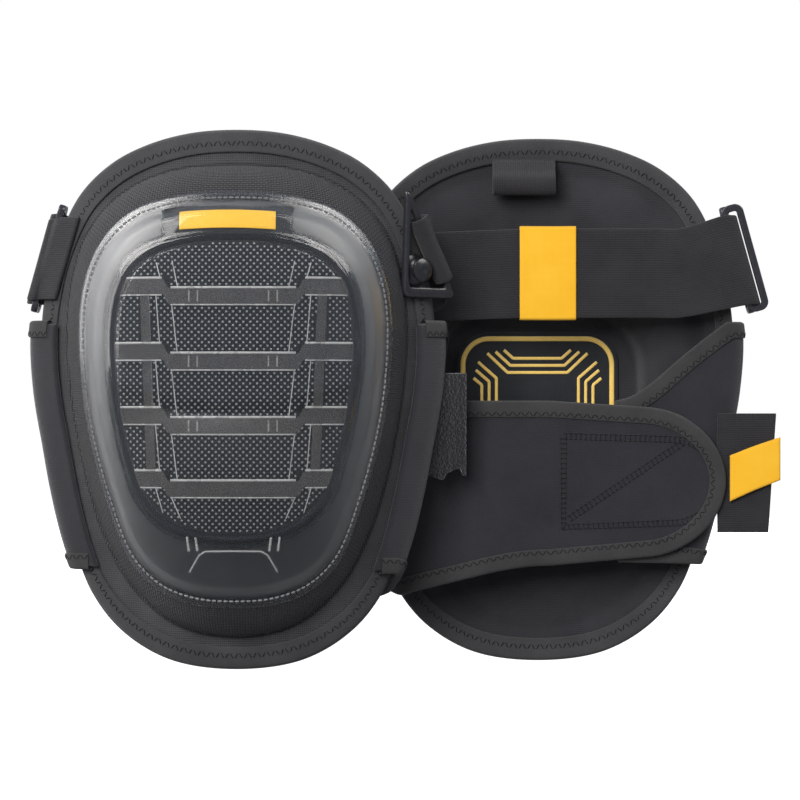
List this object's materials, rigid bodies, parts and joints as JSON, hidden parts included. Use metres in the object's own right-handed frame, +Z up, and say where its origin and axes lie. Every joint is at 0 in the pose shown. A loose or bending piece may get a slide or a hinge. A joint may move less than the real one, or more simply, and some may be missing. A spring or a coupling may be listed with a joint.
{
  "type": "knee pads",
  "caption": "Pair of strap-on gel knee pads: clear ribbed cap on a padded textile body, moulded leg side, elastic clip strap and a hook-and-loop neoprene wrap.",
  "frame": {"origin": "middle of the left pad's knee panel, on its leg side", "axes": "+Y out of the left knee panel towards the leg, +X across from the left pad to the right one, +Z up the leg"},
  "size_m": [0.3677, 0.2146, 0.2575],
  "materials": {
    "clear_plastic": "clear, glossy, with cast ribs",
    "black_plastic": "moulded, satin",
    "yellow_webbing": "smooth tape, yellow-orange",
    "dotted_fabric": "black fabric with small pale woven dots",
    "cover_fabric": "coarse black woven polyester",
    "foam": "closed-cell foam",
    "gel": "soft translucent gel",
    "liner_fabric": "smooth moulded knit",
    "printed_fabric": "black knit with a raised yellow line pattern",
    "binding_tape": "folded ribbed tape, stitched",
    "neoprene": "smooth jersey-faced neoprene with stitched bound edges",
    "hook_tape": "hook-and-loop pile",
    "elastic": "ribbed woven elastic"
  },
  "bodies": {
    "left_pad": {"left_cap_shell": "clear_plastic", "left_cap_ribs": "clear_plastic", "left_badge_plate": "black_plastic", "left_badge_bar": "yellow_webbing", "left_grip_mesh": "dotted_fabric", "left_body_cover": "cover_fabric", "left_foam_core": "foam", "left_gel_firm_layer": "gel", "left_gel_soft_layer": "gel", "left_inner_liner": "liner_fabric", "left_knee_panel": "printed_fabric", "left_edge_binding": "binding_tape", "left_loop_wing": "neoprene", "left_wrap_main": "neoprene", "left_upper_strap": "elastic", "left_strap_end": "elastic", "left_strap_ring": "black_plastic", "left_ring_tab": "elastic", "left_clip_stud": "black_plastic", "left_loop_flap": "hook_tape"},
    "left_clip": {"left_slip_clip": "black_plastic"},
    "left_keeper": {"left_strap_keeper": "yellow_webbing"},
    "left_wrap_end": {"left_wrap_tab": "neoprene", "left_hook_patch": "hook_tape", "left_elastic_tail": "elastic"},
    "left_pull": {"left_pull_tab": "yellow_webbing"},
    "left_loop": {"left_hang_loop": "elastic"},
    "right_pad": {"right_cap_shell": "clear_plastic", "right_cap_ribs": "clear_plastic", "right_badge_plate": "black_plastic", "right_badge_bar": "yellow_webbing", "right_grip_mesh": "dotted_fabric", "right_body_cover": "cover_fabric", "right_foam_core": "foam", "right_gel_firm_layer": "gel", "right_gel_soft_layer": "gel", "right_inner_liner": "liner_fabric", "right_knee_panel": "printed_fabric", "right_edge_binding": "binding_tape", "right_loop_wing": "neoprene", "right_wrap_main": "neoprene", "right_upper_strap": "elastic", "right_strap_end": "elastic", "right_strap_ring": "black_plastic", "right_ring_tab": "elastic", "right_clip_stud": "black_plastic", "right_loop_flap": "hook_tape"},
    "right_clip": {"right_slip_clip": "black_plastic"},
    "right_keeper": {"right_strap_keeper": "yellow_webbing"},
    "right_wrap_end": {"right_wrap_tab": "neoprene", "right_hook_patch": "hook_tape", "right_elastic_tail": "elastic"},
    "right_pull": {"right_pull_tab": "yellow_webbing"},
    "right_loop": {"right_hang_loop": "elastic"}
  },
  "joints": [
    {"name": "left_clip_release", "type": "hinge", "parent": "left_pad", "child": "left_clip", "pos_m": [0.09197, 0.01893, 0.08359], "axis": [-0.3788, -0.3364, 0.8622], "range_deg": [0, 70]},
    {"name": "left_keeper_slide", "type": "slide", "parent": "left_pad", "child": "left_keeper", "axis": [1, 0, 0], "range_m": [-0.035, 0.014]},
    {"name": "left_wrap_peel", "type": "hinge", "parent": "left_pad", "child": "left_wrap_end", "pos_m": [0.0214, 0.0451, -0.0325], "axis": [0, 0, -1], "range_deg": [0, 75]},
    {"name": "left_pull_flex", "type": "hinge", "parent": "left_wrap_end", "child": "left_pull", "pos_m": [-0.0649, 0.0451, -0.0255], "axis": [0, 0, -1], "range_deg": [0, 45], "stiffness_Nm_per_rad": 0.004},
    {"name": "left_hang_loop_flex", "type": "hinge", "parent": "left_pad", "child": "left_loop", "pos_m": [0.007, 0.0084, 0.1281], "axis": [1, 0, 0], "range_deg": [0, 50], "stiffness_Nm_per_rad": 0.004},
    {"name": "right_clip_release", "type": "hinge", "parent": "right_pad", "child": "right_clip", "pos_m": [0.05403, 0.07988, 0.08359], "axis": [0.3788, 0.3364, 0.8622], "range_deg": [0, 70]},
    {"name": "right_keeper_slide", "type": "slide", "parent": "right_pad", "child": "right_keeper", "axis": [-1, 0, 0], "range_m": [-0.035, 0.014]},
    {"name": "right_wrap_peel", "type": "hinge", "parent": "right_pad", "child": "right_wrap_end", "pos_m": [0.1516, 0.0537, -0.0325], "axis": [0, 0, -1], "range_deg": [0, 75]},
    {"name": "right_pull_flex", "type": "hinge", "parent": "right_wrap_end", "child": "right_pull", "pos_m": [0.2379, 0.0537, -0.0255], "axis": [0, 0, -1], "range_deg": [0, 45], "stiffness_Nm_per_rad": 0.004},
    {"name": "right_hang_loop_flex", "type": "hinge", "parent": "right_pad", "child": "right_loop", "pos_m": [0.139, 0.0904, 0.1281], "axis": [-1, 0, 0], "range_deg": [0, 50], "stiffness_Nm_per_rad": 0.004},
    {"name": "pads_apart", "type": "slide", "parent": "left_pad", "child": "right_pad", "axis": [1, 0, 0], "range_m": [0, 0.12]}
  ]
}
